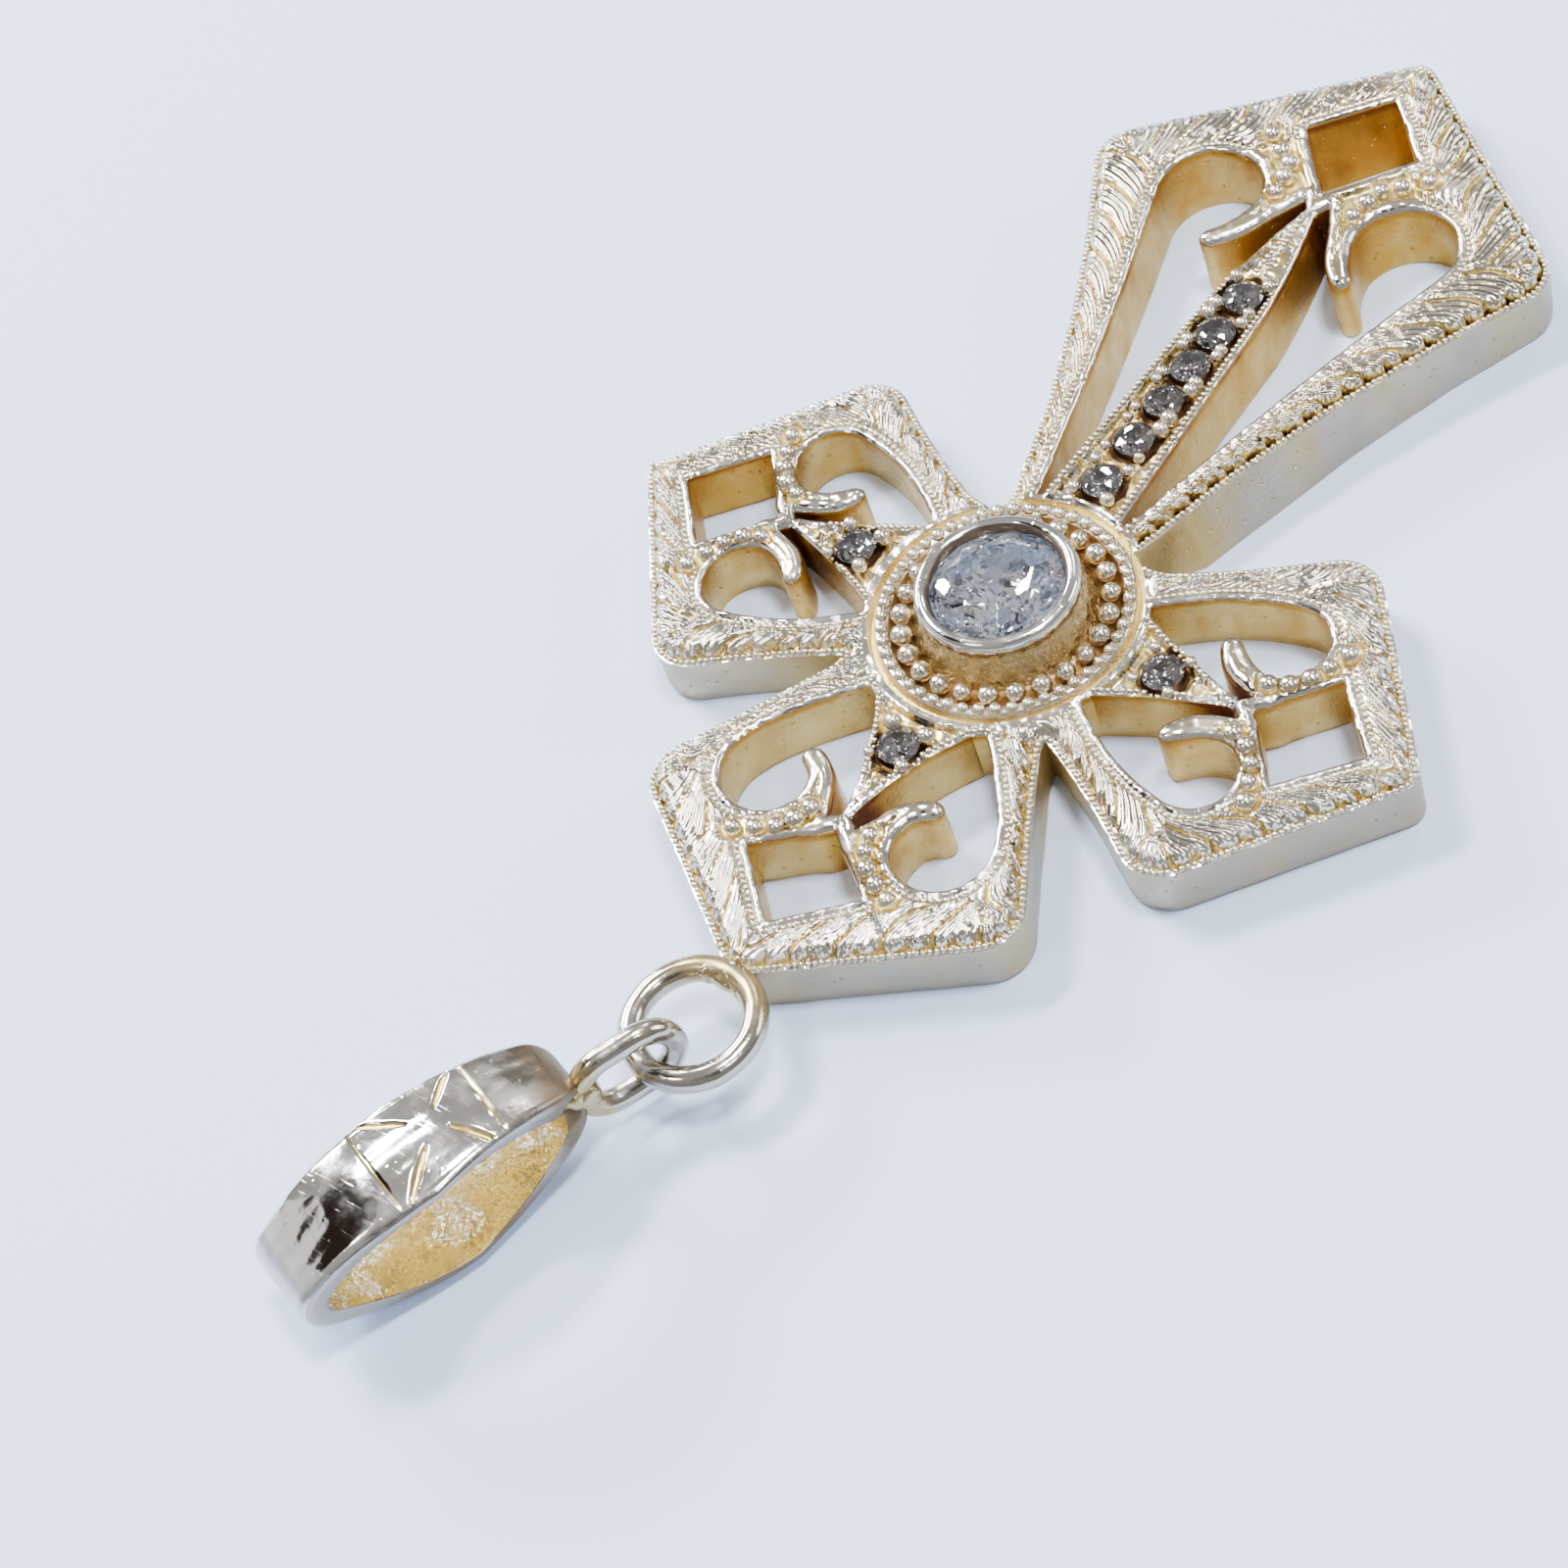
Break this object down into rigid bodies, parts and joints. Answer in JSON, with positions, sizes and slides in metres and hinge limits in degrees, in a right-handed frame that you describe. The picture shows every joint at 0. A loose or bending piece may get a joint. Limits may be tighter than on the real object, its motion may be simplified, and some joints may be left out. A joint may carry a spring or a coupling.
{
  "type": "cross pendant",
  "caption": "Pierced silver cross pendant with scrolled arms, a bezel-set centre stone, small bead-set stones and an oval bail for a neck chain.",
  "frame": {"origin": "on the flat back face, under the axis of the centre stone", "axes": "+Z out of the front of the cross, +Y from the centre stone towards the bail, +X to the right as seen from the front"},
  "size_m": [0.0256, 0.0492, 0.0041],
  "materials": {
    "cast_silver": "cast silver, satin in the recesses and polished on the high spots, with a warm gold tint inside the holes",
    "polished_silver": "polished silver with cut sparkle lines, gold tinted inside",
    "clear_stone": "faceted, colourless",
    "grey_stone": "faceted, grey in its dark seat"
  },
  "bodies": {
    "root": {"cross": "cast_silver", "bail": "polished_silver", "centre_stone": "clear_stone", "rib_stone_1": "grey_stone", "rib_stone_2": "grey_stone", "rib_stone_3": "grey_stone", "rib_stone_4": "grey_stone", "rib_stone_5": "grey_stone", "rib_stone_6": "grey_stone", "arm_stone_top": "grey_stone", "arm_stone_left": "grey_stone", "arm_stone_right": "grey_stone"}
  },
  "joints": []
}
